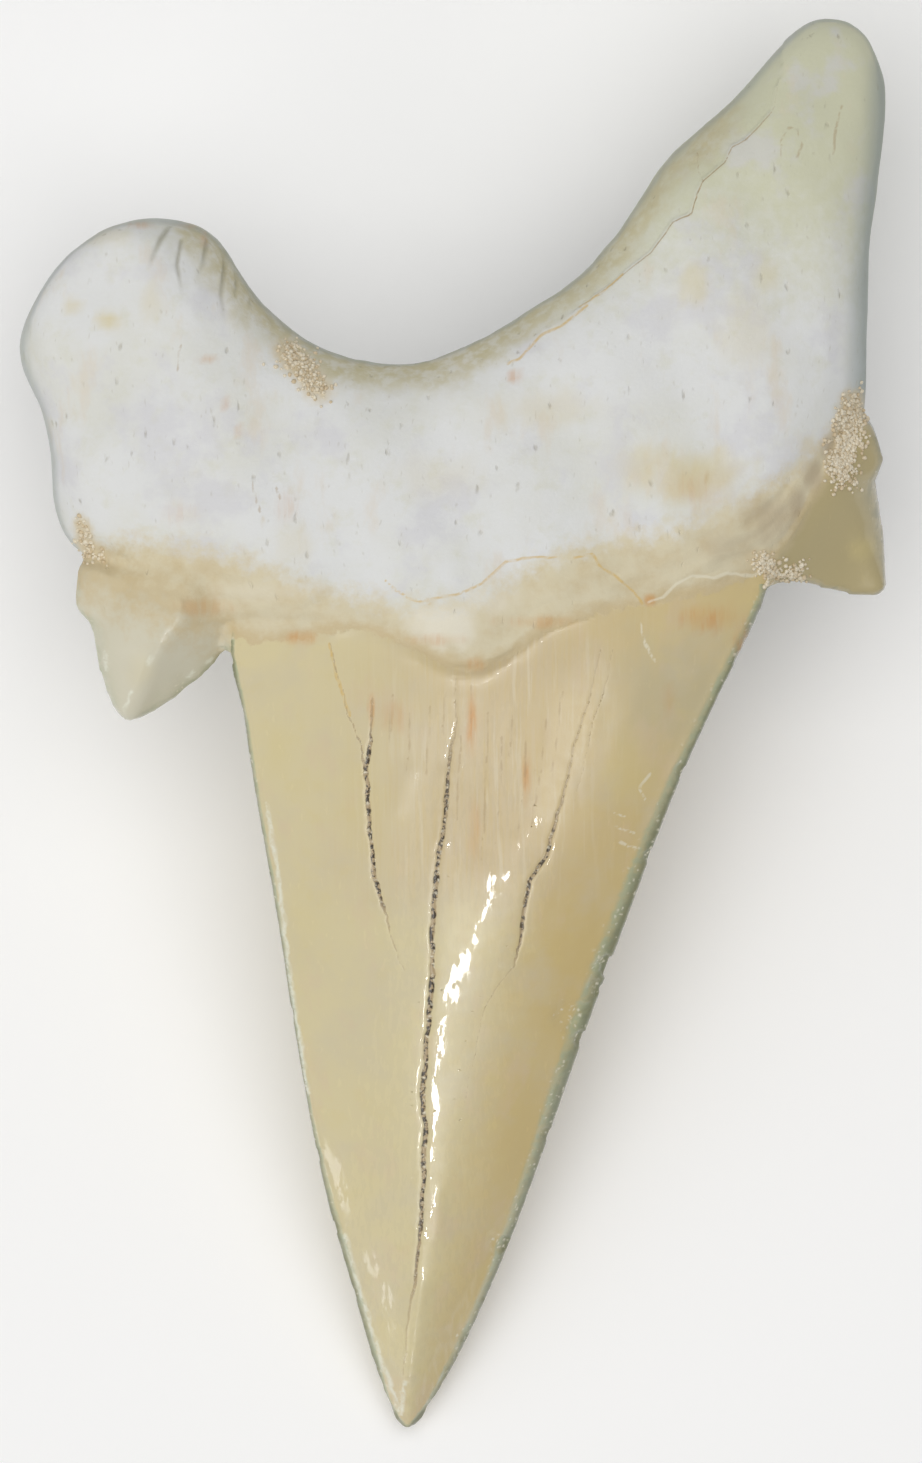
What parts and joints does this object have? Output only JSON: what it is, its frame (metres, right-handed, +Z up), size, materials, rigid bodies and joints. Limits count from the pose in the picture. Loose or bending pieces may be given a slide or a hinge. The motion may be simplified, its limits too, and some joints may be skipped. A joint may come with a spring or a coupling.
{
  "type": "fossil shark tooth",
  "caption": "Fossil tooth with a broad two-lobed root, a flat triangular pointed crown and a small side cusplet on each shoulder, lying on its inner face.",
  "frame": {"origin": "on the table, under the middle of the tooth's plan", "axes": "+Z up out of the table and the tooth's outer face, +Y from the crown's tip towards the root, +X to the right seen from above"},
  "size_m": [0.0434, 0.0704, 0.0174],
  "materials": {
    "fossil_tooth": "matt bone-grey root, polished cream-tan enamel on the crown and cusplets"
  },
  "bodies": {
    "root": {"tooth": "fossil_tooth"}
  },
  "joints": []
}
